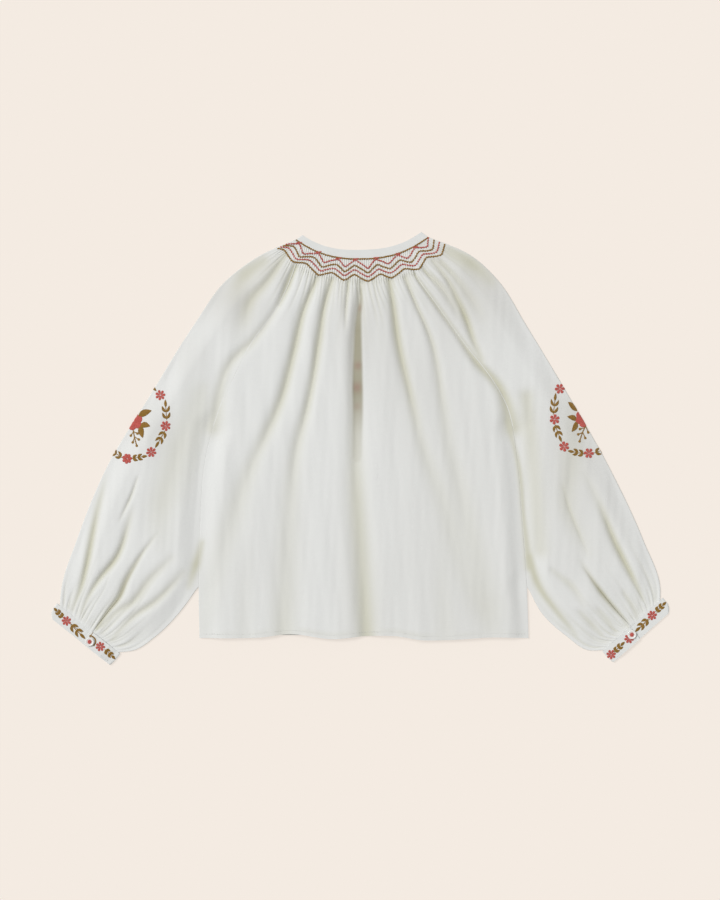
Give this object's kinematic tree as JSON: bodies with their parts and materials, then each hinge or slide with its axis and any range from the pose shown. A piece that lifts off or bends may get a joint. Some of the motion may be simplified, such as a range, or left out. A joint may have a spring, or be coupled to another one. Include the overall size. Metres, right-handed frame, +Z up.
{
  "type": "peasant blouse laid flat",
  "caption": "Cotton peasant blouse laid flat, back upward, with a smocked neck, raglan balloon sleeves, embroidered wreaths and buttoned cuffs.",
  "frame": {"origin": "on the surface under the middle of the laid blouse's bounding box", "axes": "+Z up from the surface, through the back of the blouse; +Y towards the neck; +X towards the wearer's right sleeve"},
  "size_m": [0.7737, 0.5417, 0.0095],
  "materials": {
    "voile": "soft crinkled cotton voile, slightly sheer",
    "band": "the same cotton, folded double and pressed",
    "button": "polished white resin",
    "coral_thread": "stranded embroidery cotton",
    "olive_thread": "stranded embroidery cotton"
  },
  "bodies": {
    "root": {"back": "voile", "front": "voile", "sleeve_left": "voile", "sleeve_right": "voile", "neck_binding": "band", "cuff_left": "band", "cuff_right": "band", "button_left": "button", "button_right": "button"}
  },
  "joints": []
}
